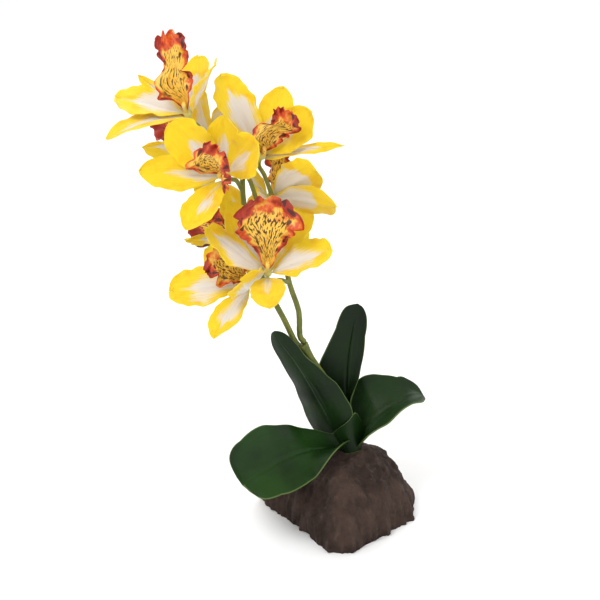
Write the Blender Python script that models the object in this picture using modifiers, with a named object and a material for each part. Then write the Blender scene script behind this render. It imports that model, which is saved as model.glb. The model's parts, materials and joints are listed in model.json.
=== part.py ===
"""Orchid spray growing on a lump of brown rock: the CAD model, in metres, +Z up.

The origin is on the rock's flat underside, under the plant's crown. X runs to the
right, Y to the back. Every leaf, sepal, petal and lip is a thin blade that bends along
a midrib; the stems are round wires of sap wood with a small ball under each flower.
"""

import math

import bmesh
import bpy
from mathutils import Matrix, Vector, noise

MM = 0.001

# Running gap between solids that touch on the real plant.
GAP = 0.3 * MM

# Rock: the corners (x, y) that give its footprint's outline, its width along X, and its
# height at the crown.
ROCK_CORNERS = [
    (50, -7), (43, 22), (14, 40), (-24, 38), (-53, 11),
    (-38, -14), (-25, -30), (0, -60), (27, -37),
]
ROCK_WIDTH = 103 * MM
ROCK_HEIGHT = 47 * MM
ROCK_SEGMENTS = 40
ROCK_RINGS = 22
ROCK_ROUGHNESS = 1.6 * MM
ROCK_FLUTES = 17
ROCK_FLUTE_DEPTH = 0.9 * MM

# Crown: the short upright shoot that the leaves and the flower stem grow from.
CROWN_CENTRE = Vector((5 * MM, 2 * MM, 0))
CROWN_RADIUS = 6.5 * MM
CROWN_PEG_RADIUS = 5.0 * MM
CROWN_PEG_DEPTH = 7 * MM
CROWN_HEIGHT = 15 * MM
CROWN_TOP_RADIUS = 4.2 * MM

# Leaves: thickness, and for each the side of the crown that it springs from, its
# direction in plan, rise at the root, bend along its length, roll about the midrib,
# twist, length, widths at the root and in the middle, where it is fullest, channel
# depth (an angle) and the height of its foot above the rock.
LEAF_THICKNESS = 1.3 * MM
LEAF_TIP_WIDTH = 5 * MM
LEAF_STEPS = (10, 4)
LEAVES = {
    "leaf_front": dict(
        seat=246, around=213, rise=21, bend=-54, roll=-34, twist=0,
        length=84, root=14, width=48, fullest=0.6, channel=40, foot=1.8,
    ),
    "leaf_left": dict(
        seat=212, around=192, rise=67, bend=-11, roll=62, twist=0,
        length=91, root=18, width=33, fullest=0.42, channel=46, foot=8,
    ),
    "leaf_back": dict(
        seat=80, around=0, rise=99, bend=-26, roll=90, twist=0,
        length=92, root=13, width=32, fullest=0.56, channel=30, foot=9.5,
    ),
    "leaf_right": dict(
        seat=340, around=16, rise=62, bend=-62, roll=14, twist=0,
        length=54, root=18, width=46, fullest=0.44, channel=60, foot=5,
    ),
}

# Stems: wire radius and the points that each runs through, with heights above the rock.
TRUNK_RADIUS = 2.5 * MM
FORK_SWELLING = 1.75
BRANCH_RADIUS = 2.1 * MM
PEDICEL_RADIUS = 1.5 * MM
STEM_SIDES = 8
TRUNK_ROUTE = [(4, 2, 23), (-6, 1, 41), (-17, 0, 59), (-26, -1, 74)]
LEFT_ROUTE = [
    (-38, -1, 93), (-51, 1, 119), (-60, 5, 149), (-63, 7, 175), (-64, 7, 193), (-78, 5, 207), (-87, 2, 215),
]
RIGHT_ROUTE = [(-28, -2, 98), (-34, -1, 117), (-38, 2, 139), (-41, 6, 159), (-46, 10, 175)]

# Flowers: the ball that the parts of each flower spring from, and their thickness.
HUB_RADIUS = 2.9 * MM
TEPAL_THICKNESS = 1.0 * MM
TEPAL_ROOT_WIDTH = 2.4 * MM
TEPAL_TIP_WIDTH = 3.0 * MM
SEPAL_WIDTH = 22 * MM
PETAL_WIDTH = 27 * MM
TEPAL_CUP = 38
SEPAL_TILT = -22
PETAL_TILT = 14

# Lip: a rolled cone that flares at the mouth.
LIP_ROOT_WIDTH = 4.5 * MM
LIP_ROLL = (190, 165)
LIP_TILT = 62

# Each flower: the place of its hub, with its height above the rock, the way it faces, and
# the point on its stem that its stalk leaves. Its sepals and petals are (angle around the
# flower, lean towards the face, bend along the length, length, roll); its lip is (angle,
# rise, flare, length, width).
FLOWERS = {
    "flower_a": dict(
        hub=(-95, -4, 228), facing=(-0.28, -0.42, 0.86),
        stem="left", leaves_at=6, lip=(118, 77, -14, 47, 37),
        dorsal_sepal=(232, 34, -43, 50, 12),
        left_petal=(197, 27, -11, 49, 6), right_petal=(29, 55, -9, 40, -20),
        left_sepal=(163, 25, -12, 42, -22), right_sepal=(110, 7, 12, 42, -9),
    ),
    "flower_b": dict(
        hub=(-51, 12, 197), facing=(0.22, -0.6, 0.77),
        stem="right", leaves_at=4, lip=(96, 84, -4, 33, 37),
        dorsal_sepal=(61, 22, -5, 46, -1),
        left_petal=(111, 23, -1, 53, 3), right_petal=(16, 48, -2, 39, 2),
        left_sepal=(183, 52, -4, 42, -3), right_sepal=(340, 41, -18, 50, -4),
    ),
    "flower_c": dict(
        hub=(-73, -22, 194), facing=(-0.3, -0.85, 0.42),
        stem="left", leaves_at=3, lip=(63, 86, -23, 35, 40),
        dorsal_sepal=(89, 31, -2, 35, -1),
        left_petal=(140, 33, -5, 42, -5), right_petal=(35, 31, 7, 35, 0),
        left_sepal=(184, 15, 1, 49, 2), right_sepal=(254, 38, -7, 42, 5),
    ),
    "flower_d": dict(
        hub=(-87, 32, 201), facing=(-0.62, 0.76, 0.16),
        stem="left", leaves_at=5, lip=(331, 78, -11, 36, 35),
        dorsal_sepal=(79, 16, 3, 36, 12),
        left_petal=(151, 10, -2, 39, 1), right_petal=(356, 15, 10, 37, -4),
        left_sepal=(212, 9, -7, 40, -4), right_sepal=(273, -12, 5, 36, -13),
    ),
    "flower_e": dict(
        hub=(-47, -30, 135), facing=(0.02, -0.42, 0.9),
        stem="right", leaves_at=1, lip=(88, 75, -15, 44, 52),
        dorsal_sepal=(269, 34, -30, 40, 9),
        left_petal=(165, 39, 2, 45, -6), right_petal=(353, 38, -11, 42, 3),
        left_sepal=(118, 24, 4, 49, -9), right_sepal=(62, 13, -5, 58, -6),
    ),
    "flower_f": dict(
        hub=(-59, -20, 124), facing=(-0.5, -0.6, 0.62),
        stem="left", leaves_at=1, lip=(147, 73, -26, 28, 28),
        dorsal_sepal=(277, 31, -16, 43, -1),
        left_petal=(207, 21, -10, 49, -1), right_petal=(342, 44, 36, 36, -11),
        left_sepal=(163, 10, -1, 39, 0), right_sepal=(99, 17, -1, 36, 2),
    ),
    "flower_g": dict(
        hub=(-46, 18, 168), facing=(0.5, 0.78, 0.37),
        stem="left", leaves_at=4, lip=(57, 62, -11, 37, 34),
        dorsal_sepal=(244, 2, -3, 37, -2),
        left_petal=(146, 4, 4, 42, 3), right_petal=(331, 31, 7, 33, 3),
        left_sepal=(171, 3, -19, 53, -2), right_sepal=(56, -5, 14, 33, -14),
    ),
    "flower_h": dict(
        hub=(-64, 30, 137), facing=(-0.7, 0.7, 0.12),
        stem="left", leaves_at=2, lip=(335, 68, -7, 33, 36),
        dorsal_sepal=(78, 15, 20, 34, 4),
        left_petal=(154, 24, 4, 36, 3), right_petal=(10, 5, 1, 43, -11),
        left_sepal=(223, 7, -2, 36, -7), right_sepal=(289, 4, 3, 34, 4),
    ),
}
SEPALS = ("dorsal_sepal", "left_sepal", "right_sepal")
PETALS = ("left_petal", "right_petal")

TEPAL_STEPS = (6, 4)
LIP_STEPS = (7, 8)
MIDRIB_STEPS = 40


def clear_scene():
    for item in list(bpy.data.objects):
        bpy.data.objects.remove(item)


def collection(name):
    made = bpy.data.collections.new(name)
    bpy.context.scene.collection.children.link(made)
    return made


def material(name, colour, roughness):
    made = bpy.data.materials.new(name)
    made.use_nodes = True
    shader = made.node_tree.nodes["Principled BSDF"]
    shader.inputs["Base Color"].default_value = (*colour, 1)
    shader.inputs["Roughness"].default_value = roughness
    shader.inputs["Metallic"].default_value = 0
    return made


def add_object(name, data, group, finish):
    made = bpy.data.objects.new(name, data)
    data.materials.append(finish)
    group.objects.link(made)
    return made


def mesh_from(bm, name):
    data = bpy.data.meshes.new(name)
    bm.to_mesh(data)
    bm.free()
    return data


def above_rock(point):
    """A point given in millimetres, with its height measured from the rock's top."""
    return Vector(point) * MM + Vector((0, 0, ROCK_HEIGHT))


# Blades: leaves, sepals, petals and lips.


def frame_facing(centre, facing):
    """The frame at centre whose Z is the facing direction and whose Y leans up."""
    z = Vector(facing).normalized()
    y = (Vector((0, 0, 1)) - z * z.z).normalized()
    x = y.cross(z)
    return Matrix((
        (x.x, y.x, z.x, centre.x),
        (x.y, y.y, z.y, centre.y),
        (x.z, y.z, z.z, centre.z),
        (0, 0, 0, 1),
    ))


def blade_width(along, root, middle, tip, fullest=0.56):
    """Width at a share of the length: an oval between a narrow root and a blunt tip."""
    power = math.log(0.5) / math.log(fullest)
    oval = math.sin(math.pi * min(max(along, 0), 1) ** power) ** 0.7
    ends = root + (tip - root) * along
    return ends + (middle - ends) * oval


def fan_width(along, root, mouth):
    """Width of a lip's fan: it opens quickly and draws in a little at its margin."""
    return root + (mouth - root) * math.sin(math.radians(120) * along) ** 0.9


def midrib(around, rise, bend, length, start):
    """Points, tangents and upper normals along a blade's midrib, in its own frame."""
    outward = Vector((math.cos(math.radians(around)), math.sin(math.radians(around)), 0))
    forward = Vector((0, 0, 1))
    point = start.copy()
    found = []
    for step in range(MIDRIB_STEPS + 1):
        angle = math.radians(rise + bend * step / MIDRIB_STEPS)
        tangent = outward * math.cos(angle) + forward * math.sin(angle)
        upper = forward * math.cos(angle) - outward * math.sin(angle)
        found.append((point.copy(), tangent, upper))
        point = point + tangent * (length / MIDRIB_STEPS)
    return found


def blade(name, frame, rib, steps, width_at, cup_at, roll_at, thickness, group, finish):
    """A blade: a grid laid along a midrib, bent to an arc across it, then given a wall."""
    bm = bmesh.new()
    bmesh.ops.create_grid(bm, x_segments=steps[0], y_segments=steps[1], size=0.5)
    for vertex in bm.verts:
        along, across = vertex.co.x + 0.5, vertex.co.y
        point, tangent, upper = rib[round(along * MIDRIB_STEPS)]
        turn = Matrix.Rotation(roll_at(along), 3, tangent)
        upper = turn @ upper
        side = upper.cross(tangent)
        cup = cup_at(along)
        radius = width_at(along) / cup
        across *= cup
        bent = point + side * (radius * math.sin(across)) + upper * (radius * (1 - math.cos(across)))
        vertex.co = frame @ bent
    bmesh.ops.recalc_face_normals(bm, faces=bm.faces)
    made = add_object(name, mesh_from(bm, name), group, finish)
    made.data.shade_smooth()
    wall = made.modifiers.new("wall", "SOLIDIFY")
    wall.thickness = thickness
    wall.offset = 0
    return made


def leaf(name, shape, group, finish):
    """One strap leaf. Its root clasps the side of the crown."""
    seat = math.radians(shape["seat"])
    clasp = shape["seat"] - shape["around"]
    clasp -= 360 * round(clasp / 360)
    root = shape["root"] * MM
    skew = abs(math.sin(math.radians(clasp))) * math.cos(math.radians(shape["rise"])) ** 3
    reach = CROWN_RADIUS + GAP + LEAF_THICKNESS / 2 + skew * root / 2
    start = Vector((math.cos(seat) * reach, math.sin(seat) * reach, ROCK_HEIGHT + shape["foot"] * MM))
    root_channel = math.degrees(root / (CROWN_RADIUS + 2 * MM))
    channel, roll, twist = shape["channel"], shape["roll"], shape["twist"]
    return blade(
        name,
        Matrix.Translation(CROWN_CENTRE),
        midrib(shape["around"], shape["rise"], shape["bend"], shape["length"] * MM, start),
        LEAF_STEPS,
        lambda along: blade_width(along, root, shape["width"] * MM, LEAF_TIP_WIDTH, shape["fullest"]),
        lambda along: math.radians(channel + (root_channel - channel) * (1 - along) ** 4),
        lambda along: math.radians(clasp + (roll - clasp) * min(1, along * 2.5) + twist * along),
        LEAF_THICKNESS,
        group,
        finish,
    )


def tepal(name, frame, kind, pose, group, finish):
    """One sepal or petal of a flower."""
    around, lean, bend, length, roll = pose
    tilt = math.radians(SEPAL_TILT if kind in SEPALS else PETAL_TILT)
    outward = Vector((math.cos(math.radians(around)), math.sin(math.radians(around)), 0))
    reach = HUB_RADIUS + GAP + TEPAL_THICKNESS / 2
    start = outward * (reach * math.cos(tilt)) + Vector((0, 0, reach * math.sin(tilt)))
    width = SEPAL_WIDTH if kind in SEPALS else PETAL_WIDTH
    return blade(
        name,
        frame,
        midrib(around, lean, bend, length * MM, start),
        TEPAL_STEPS,
        lambda along: blade_width(along, TEPAL_ROOT_WIDTH, width, TEPAL_TIP_WIDTH),
        lambda along: math.radians(TEPAL_CUP),
        lambda along: math.radians(roll * min(1, along * 3)),
        TEPAL_THICKNESS,
        group,
        finish,
    )


def lip(name, frame, pose, group, finish):
    """The rolled lip in front of the hub."""
    around, rise, flare, length, mouth = pose
    outward = Vector((math.cos(math.radians(around)), math.sin(math.radians(around)), 0))
    tilt = math.radians(LIP_TILT)
    reach = HUB_RADIUS + GAP + TEPAL_THICKNESS / 2
    start = outward * (reach * math.cos(tilt)) + Vector((0, 0, reach * math.sin(tilt)))
    return blade(
        name,
        frame,
        midrib(around, rise, flare, length * MM, start),
        LIP_STEPS,
        lambda along: fan_width(along, LIP_ROOT_WIDTH, mouth * MM),
        lambda along: math.radians(LIP_ROLL[0] + (LIP_ROLL[1] - LIP_ROLL[0]) * along),
        lambda along: 0,
        TEPAL_THICKNESS,
        group,
        finish,
    )


# Stems.


def smooth_route(points, per_span=3):
    """A Catmull-Rom curve through the points, as a denser list of points."""
    ends = [points[0] * 2 - points[1], *points, points[-1] * 2 - points[-2]]
    found = []
    for a, b, c, d in zip(ends, ends[1:], ends[2:], ends[3:]):
        for step in range(per_span):
            t = step / per_span
            straight = 2 * b + (c - a) * t
            found.append(0.5 * (straight + (2 * a - 5 * b + 4 * c - d) * t**2 + (3 * b - a - 3 * c + d) * t**3))
    return [*found, points[-1]]


def wire(name, points, radii, group, finish):
    """A round wire along the points, as a closed mesh."""
    curve = bpy.data.curves.new(name, "CURVE")
    curve.dimensions = "3D"
    curve.bevel_depth = 1
    curve.bevel_resolution = STEM_SIDES // 4
    curve.use_fill_caps = True
    line = curve.splines.new("POLY")
    line.points.add(len(points) - 1)
    for target, point, radius in zip(line.points, points, radii):
        target.co = (*point, 1)
        target.radius = radius
    tube = bpy.data.objects.new(name, curve)
    group.objects.link(tube)
    bpy.context.view_layer.update()
    graph = bpy.context.evaluated_depsgraph_get()
    data = bpy.data.meshes.new_from_object(tube.evaluated_get(graph))
    bpy.data.objects.remove(tube)
    bm = bmesh.new()
    bm.from_mesh(data)
    bmesh.ops.remove_doubles(bm, verts=bm.verts, dist=0.01 * MM)
    bm.to_mesh(data)
    bm.free()
    data.materials.clear()
    data.shade_smooth()
    return add_object(name, data, group, finish)


def join(target, pieces):
    """Joins helper meshes to the target with Boolean unions."""
    for number, piece in enumerate(pieces):
        piece.hide_render = True
        piece.display_type = "WIRE"
        union = target.modifiers.new(f"join_{number}", "BOOLEAN")
        union.operation = "UNION"
        union.object = piece


def hub(name, centre, group, finish):
    bm = bmesh.new()
    bmesh.ops.create_uvsphere(bm, u_segments=10, v_segments=7, radius=HUB_RADIUS)
    bmesh.ops.translate(bm, verts=bm.verts, vec=centre)
    made = add_object(name, mesh_from(bm, name), group, finish)
    made.data.shade_smooth()
    return made


def stalk_route(start, centre, facing):
    """From the stem's middle round to the back of a flower, and on to its hub."""
    behind = Vector(facing).normalized() * -1
    reach = (centre - start).length
    approach = centre + behind * min(12 * MM, reach * 0.45)
    middle = start.lerp(approach, 0.5) + Vector((0, 0, 0.08 * reach))
    return smooth_route([start, middle, approach, centre])


def branch(name, fork, offset, route, radius, side, group, helpers, finish):
    """A stem, from the trunk's fork, with the stalk and hub of each of its flowers."""
    end, along, across = fork
    foot = end + along * 2 * GAP + across * offset
    points = [foot, foot + along * 6 * MM, *(above_rock(p) for p in route)]
    line = smooth_route(points)
    taper = [radius * (1 - 0.25 * i / (len(line) - 1)) for i in range(len(line))]
    stem = wire(name, line, taper, group, finish)
    pieces = []
    for flower, spec in FLOWERS.items():
        if spec["stem"] != side:
            continue
        centre = above_rock(spec["hub"])
        path = stalk_route(above_rock(route[spec["leaves_at"]]), centre, spec["facing"])
        pieces.append(wire(f"{flower}_stalk", path, [PEDICEL_RADIUS] * len(path), helpers, finish))
        pieces.append(hub(f"{flower}_hub", centre, helpers, finish))
    join(stem, pieces)
    return stem


# Rock and crown.


def footprint_radius(angle):
    """Distance from the origin to the rock's outline at ground level, in a direction."""
    sides = [x for x, y in ROCK_CORNERS]
    scale = ROCK_WIDTH / (max(sides) - min(sides))
    corners = sorted((math.atan2(y, x), math.hypot(x, y) * scale) for x, y in ROCK_CORNERS)
    corners.append((corners[0][0] + 2 * math.pi, corners[0][1]))
    if angle < corners[0][0]:
        angle += 2 * math.pi
    for (first, near), (second, far) in zip(corners, corners[1:]):
        if angle <= second:
            share = (angle - first) / (second - first)
            ease = 0.5 * share + 0.5 * (1 - math.cos(math.pi * share)) / 2
            return near + (far - near) * ease
    return corners[-1][1]


def rock(group, helpers, finish):
    """A fluted lump with a flat underside and a round socket for the crown's peg."""
    bm = bmesh.new()
    bmesh.ops.create_uvsphere(bm, u_segments=ROCK_SEGMENTS, v_segments=ROCK_RINGS, radius=1)
    for vertex in bm.verts:
        direction = vertex.co.copy()
        angle = math.atan2(direction.y, direction.x)
        level = math.hypot(direction.x, direction.y)
        reach = footprint_radius(angle) * level**0.9
        flute = ROCK_FLUTE_DEPTH * math.sin(ROCK_FLUTES * angle) * level
        lump = ROCK_ROUGHNESS * noise.noise(direction * 2.6)
        reach = max(0, reach + flute + 1.5 * lump * level)
        height = ROCK_HEIGHT * math.copysign(abs(direction.z) ** 1.15, direction.z)
        vertex.co = (reach * math.cos(angle), reach * math.sin(angle), height + lump * level)
    cut = bmesh.ops.bisect_plane(
        bm,
        geom=bm.verts[:] + bm.edges[:] + bm.faces[:],
        plane_co=(0, 0, 0),
        plane_no=(0, 0, 1),
        clear_inner=True,
    )
    rim = [item for item in cut["geom_cut"] if isinstance(item, bmesh.types.BMEdge)]
    bmesh.ops.holes_fill(bm, edges=rim)
    bmesh.ops.recalc_face_normals(bm, faces=bm.faces)
    made = add_object("rock", mesh_from(bm, "rock"), group, finish)
    made.data.shade_smooth()

    bm = bmesh.new()
    depth = CROWN_PEG_DEPTH + GAP
    bore = CROWN_PEG_RADIUS + GAP
    bmesh.ops.create_cone(bm, cap_ends=True, segments=24, radius1=bore, radius2=bore, depth=2 * depth)
    bmesh.ops.translate(bm, verts=bm.verts, vec=CROWN_CENTRE + Vector((0, 0, ROCK_HEIGHT)))
    socket = add_object("socket_cutter", mesh_from(bm, "socket_cutter"), helpers, finish)
    socket.hide_render = True
    socket.display_type = "WIRE"
    cutter = made.modifiers.new("socket", "BOOLEAN")
    cutter.operation = "DIFFERENCE"
    cutter.object = socket
    return made


def crown(group, finish):
    """The shoot: a peg that sits in the rock, and a swollen collar above it."""
    top = ROCK_HEIGHT + CROWN_HEIGHT
    profile = [
        (0, top),
        (CROWN_TOP_RADIUS, top),
        (CROWN_RADIUS, top - 5 * MM),
        (CROWN_RADIUS, ROCK_HEIGHT + 2.5 * MM),
        (CROWN_PEG_RADIUS, ROCK_HEIGHT + 1.5 * MM),
        (CROWN_PEG_RADIUS, ROCK_HEIGHT - CROWN_PEG_DEPTH),
        (0, ROCK_HEIGHT - CROWN_PEG_DEPTH),
    ]
    data = bpy.data.meshes.new("crown")
    data.from_pydata([(r, 0, z) for r, z in profile], [(i, i + 1) for i in range(len(profile) - 1)], [])
    made = add_object("crown", data, group, finish)
    made.location = CROWN_CENTRE
    turn = made.modifiers.new("turn", "SCREW")
    turn.steps = 20
    turn.render_steps = 20
    turn.use_merge_vertices = True
    turn.merge_threshold = 0.0001
    return made


def main():
    clear_scene()
    plant = collection("potted_orchid")
    helpers = collection("helpers")
    helpers.hide_render = True
    brown = material("rock", (0.075, 0.045, 0.034), 0.9)
    dark_green = material("leaf", (0.012, 0.055, 0.012), 0.4)
    olive = material("stem", (0.13, 0.17, 0.04), 0.5)
    yellow = material("tepal", (0.85, 0.62, 0.06), 0.6)
    orange = material("lip", (0.62, 0.16, 0.03), 0.6)

    rock(plant, helpers, brown)
    crown(plant, olive)
    for name, shape in LEAVES.items():
        leaf(name, shape, plant, dark_green)

    foot = CROWN_CENTRE + Vector((0, 0, ROCK_HEIGHT + CROWN_HEIGHT + GAP))
    trunk_line = smooth_route([foot, *(above_rock(p) for p in TRUNK_ROUTE)])
    swelling = [1] * (len(trunk_line) - 2) + [1.3, FORK_SWELLING]
    wire("trunk", trunk_line, [TRUNK_RADIUS * swell for swell in swelling], plant, olive)
    along = (trunk_line[-1] - trunk_line[-2]).normalized()
    across = Vector((0, 1, 0)).cross(along).normalized()
    fork = trunk_line[-1], along, across
    apart = BRANCH_RADIUS + GAP
    branch("left_stem", fork, -apart, LEFT_ROUTE, BRANCH_RADIUS, "left", plant, helpers, olive)
    branch("right_stem", fork, apart, RIGHT_ROUTE, BRANCH_RADIUS, "right", plant, helpers, olive)

    for flower, spec in FLOWERS.items():
        frame = frame_facing(above_rock(spec["hub"]), spec["facing"])
        for kind in SEPALS + PETALS:
            tepal(f"{flower}_{kind}", frame, kind, spec[kind], plant, yellow)
        lip(f"{flower}_lip", frame, spec["lip"], plant, orange)


main()
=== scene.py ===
"""An orchid spray on a lump of brown rock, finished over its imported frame.

The file is laid out as an add-on: sizes and colours are properties, each group of
pieces has its own operator, and a panel in the sidebar lists them. Run as a script it
makes the whole plant on its stage.
"""

import json
import math

import bpy
import numpy as np
from mathutils import Matrix, Vector, noise

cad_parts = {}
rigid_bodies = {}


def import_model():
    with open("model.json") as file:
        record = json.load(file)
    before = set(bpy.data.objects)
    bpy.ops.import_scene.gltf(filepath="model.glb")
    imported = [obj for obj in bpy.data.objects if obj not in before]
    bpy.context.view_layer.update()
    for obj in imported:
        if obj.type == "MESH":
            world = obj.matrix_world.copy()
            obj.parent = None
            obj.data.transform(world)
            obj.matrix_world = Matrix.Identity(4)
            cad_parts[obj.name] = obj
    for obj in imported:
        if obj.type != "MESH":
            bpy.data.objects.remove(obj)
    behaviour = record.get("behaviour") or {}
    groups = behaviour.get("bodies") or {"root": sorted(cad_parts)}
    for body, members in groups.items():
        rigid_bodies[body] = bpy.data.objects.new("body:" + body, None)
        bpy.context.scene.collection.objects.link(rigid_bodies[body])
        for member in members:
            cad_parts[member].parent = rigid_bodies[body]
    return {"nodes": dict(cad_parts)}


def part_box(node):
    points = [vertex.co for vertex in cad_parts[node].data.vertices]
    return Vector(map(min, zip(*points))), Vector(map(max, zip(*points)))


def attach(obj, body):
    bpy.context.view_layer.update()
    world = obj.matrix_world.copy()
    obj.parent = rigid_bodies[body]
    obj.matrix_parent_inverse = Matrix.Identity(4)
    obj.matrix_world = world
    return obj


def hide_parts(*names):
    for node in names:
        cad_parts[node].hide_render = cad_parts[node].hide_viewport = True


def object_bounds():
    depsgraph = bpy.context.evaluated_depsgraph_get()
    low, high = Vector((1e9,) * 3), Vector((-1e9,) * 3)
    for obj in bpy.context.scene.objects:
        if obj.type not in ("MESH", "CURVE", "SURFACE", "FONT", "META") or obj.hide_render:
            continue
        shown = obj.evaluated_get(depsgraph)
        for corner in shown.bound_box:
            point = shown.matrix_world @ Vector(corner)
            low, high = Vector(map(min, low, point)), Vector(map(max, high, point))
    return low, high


bl_info = {
    "name": "Orchid on Rock",
    "version": (1, 0, 0),
    "blender": (4, 5, 0),
    "location": "3D View > Sidebar > Orchid",
    "description": "Petals, lips, leaves, stems and rock of an orchid spray",
    "category": "Object",
}

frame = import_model()
FRAME_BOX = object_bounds()
MM = 0.001

# How the frame's blades are laid out: wall, points from root to tip, points across.
TEPAL_GRID = (1.0 * MM, 7, 5)
LIP_GRID = (1.0 * MM, 8, 9)
LEAF_GRID = (1.3 * MM, 11, 5)

FLOWERS = sorted({name[:8] for name in frame["nodes"] if name.startswith("flower_")})
SEPALS = ("dorsal_sepal", "left_sepal", "right_sepal")
PETALS = ("left_petal", "right_petal")
LEAVES = sorted(name for name in frame["nodes"] if name.startswith("leaf_"))
STEMS = ("trunk", "left_stem", "right_stem")

# How far each leaf's two margins sit from the frame's blade, sideways and up, in
# millimetres, at each of its rows from the root to the tip.
LEAF_MARGINS = {
    "leaf_front": (
        ((4, 8), (2.7, 5.8), (2, 3.6), (0, 0.7), (0, -0.7), (0, 0), (0, 3), (-1, 3),
         (-1, 3), (1, 2), (3.4, 5)),
        ((1, 2), (0, 0), (0, 0), (0, 0), (0, 0), (0, 0), (0, 0), (0, 0), (0, 1), (-1, 2), (4, 4)),
    ),
    "leaf_left": (
        ((-11.5, -5), (-9.5, -7), (-6, -5), (-2, -1.5), (1, 0), (2.5, 0), (2.5, 0), (2.5, 0),
         (2, 0), (0.5, 0), (0, 0)),
        ((2, 3.6), (1.5, 3.5), (2.5, 1.5), (1, 0), (-1, 0), (-3, -1.5), (-4, -2), (-5, -3),
         (-3.5, -3), (-2, -2), (1, -1)),
    ),
    "leaf_back": (
        ((0, 0), (-5, 0), (-8, 0), (-8, 0), (-7, 0), (-6.8, 0), (-6, 0), (-5.4, 0), (-4.8, 0),
         (-4, 0), (-2.7, -2)),
        ((0, 0), (0, 0), (-2, 0), (-4, 0), (-4, 0), (-3, 0), (0, 0), (2, 0), (2.7, 0),
         (2, 0), (-1, -3)),
    ),
    "leaf_right": (
        ((4, -6.5), (5.5, -6.5), (2.7, -4.4), (0, 0), (-2, 4), (-1.4, 5), (-1.4, 5), (-0.7, 5),
         (-0.7, 4), (0, 2), (0, 0)),
        ((-5.5, 6.5), (-5.5, 8), (-5, 9.5), (-3, 10), (0, 10), (1.4, 8), (2, 4.7), (2, 2.9),
         (1.4, 1.5), (0, 0), (0, 0)),
    ),
}

# Painted shade: how bright the green of each leaf is, as a share of the front leaf's.
# The upright leaves that face away from the light get darker copies of the green.
LEAF_PAINTED_LIGHT = {"leaf_front": 1.0, "leaf_right": 0.85, "leaf_left": 0.55, "leaf_back": 0.5}

# Each lip's half widths, as shares of its blade's, on both sides from root to mouth.
LIP_OUTLINES = {
    "flower_a": (
        (1, 0.75, 0.6, 0.5, 0.38, 0.47, 0.65, 0.5), (1, 0.8, 1.15, 1.05, 0.36, 0.3, 0.32, 0.28),
    ),
    "flower_b": (
        (1, 0.9, 0.8, 0.8, 0.7, 1.0, 1.05, 0.85), (1, 1, 1.2, 1.2, 0.4, -0.1, -0.2, -0.15),
    ),
    "flower_c": (
        (1, 1, 1, 0.95, 0.7, 0.62, 0.6, 0.45), (1, 1, 1.1, 1.15, 0.9, 0.5, 0.4, 0.3),
    ),
    "flower_d": ((1, 1, 1.1, 1.15, 0.85, 0.7, 0.9, 0.7),) * 2,
    "flower_e": (
        (1, 0.5, 0.4, 0.45, 0.66, 0.82, 0.74, 0.5), (1, 0.5, 0.42, 0.5, 0.74, 0.88, 0.7, 0.42),
    ),
    "flower_f": (
        (1, 0.95, 0.86, 0.84, 0.84, 0.84, 0.8, 0.6), (1, 1, 1.02, 1.0, 0.98, 0.9, 0.8, 0.6),
    ),
    "flower_g": ((1, 0.9, 0.95, 1, 0.75, 0.55, 0.6, 0.4),) * 2,
    "flower_h": ((1, 1, 1.1, 1.15, 0.95, 0.8, 0.95, 0.7),) * 2,
}

# Lips that are red further down, and the lip with fewer dashes.
DEEP_LIPS = ("flower_d", "flower_h")
DEEPER = 0.42
SPARSE_LIP = "flower_a"
SPARSER = 0.045

# Blades smaller than the frame's: the shares kept of the upper half, the lower half
# and the length. Below a summed width of NARROW, a blade keeps a pointed tip.
WHOLE = (1, 1, 1)
NARROW = 1.3
POINTED = 0.02
TRIMS = {
    "flower_a_left_petal": (1, 1, 0.87),
    "flower_a_left_sepal": (0.26, 0.42, 1),
    "flower_b_right_sepal": (0.4, 0.36, 1),
    "flower_e_left_petal": (0.62, 0.95, 1),
    "flower_d_right_petal": (0.25, 0.8, 1),
    "flower_h_right_petal": (0.2, 0.4, 1),
}

# How far the pale centre spreads on petals, on sepals, and on the blades where it is
# smaller or almost absent.
WIDE, SLIGHT, PARTLY, GOLDEN = 0.16, -0.04, -0.2, -0.42
CENTRES = {
    "flower_b_dorsal_sepal": GOLDEN,
    "flower_b_right_petal": GOLDEN,
    "flower_c_dorsal_sepal": PARTLY,
    "flower_c_left_petal": GOLDEN,
    "flower_c_left_sepal": PARTLY,
    "flower_c_right_petal": GOLDEN,
    "flower_c_right_sepal": GOLDEN,
    "flower_e_dorsal_sepal": GOLDEN,
    "flower_e_right_sepal": GOLDEN,
    "flower_g_right_petal": PARTLY,
}

# The rock's ragged foot: the shares of its height that are ragged and that stay flat,
# and how far the outline wanders.
ROCK_FOOT = 0.2
ROCK_FLAT = 0.03
ROCK_RAGGED = 3.6 * MM

# The sheath round the crown: the angles it spans, from the front towards +X, its
# height in millimetres at shares of that span, its radius at foot and top, how deep it
# is set into the rock, how far it waves, how bright its green is, darkened as painted
# shade among the leaf bases, and its grid's points along and up. Then how bright the
# crown's green is, darkened almost to black as painted shade under the leaf bases.
SHEATH_SPAN = (64, -106)
SHEATH_PLACES = (0, 0.22, 0.5, 1)
SHEATH_HEIGHTS = (15, 31, 21, 5)
SHEATH_RADII = (9.5 * MM, 11.1 * MM)
SHEATH_SINK = 1.5 * MM
SHEATH_WAVE = 0.4 * MM
SHEATH_PAINTED_LIGHT = 0.7
SHEATH_GRID = (9, 5)
CROWN_PAINTED_LIGHT = 0.16

# Points along and across the flat sheets that blades are cut from.
SHEATH_SHEET = (60, 24)
LEAF_SHEET = (90, 44)
TEPAL_SHEET = (44, 28)
LIP_SHEET = (84, 72)

# The stems' attribute for the petals' tint round the hubs, and the distances from a
# hub's middle over which the tint fades.
HUB_TINT = "petal_tint"
TINT_FADE = (3 * MM, 9 * MM)

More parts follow.
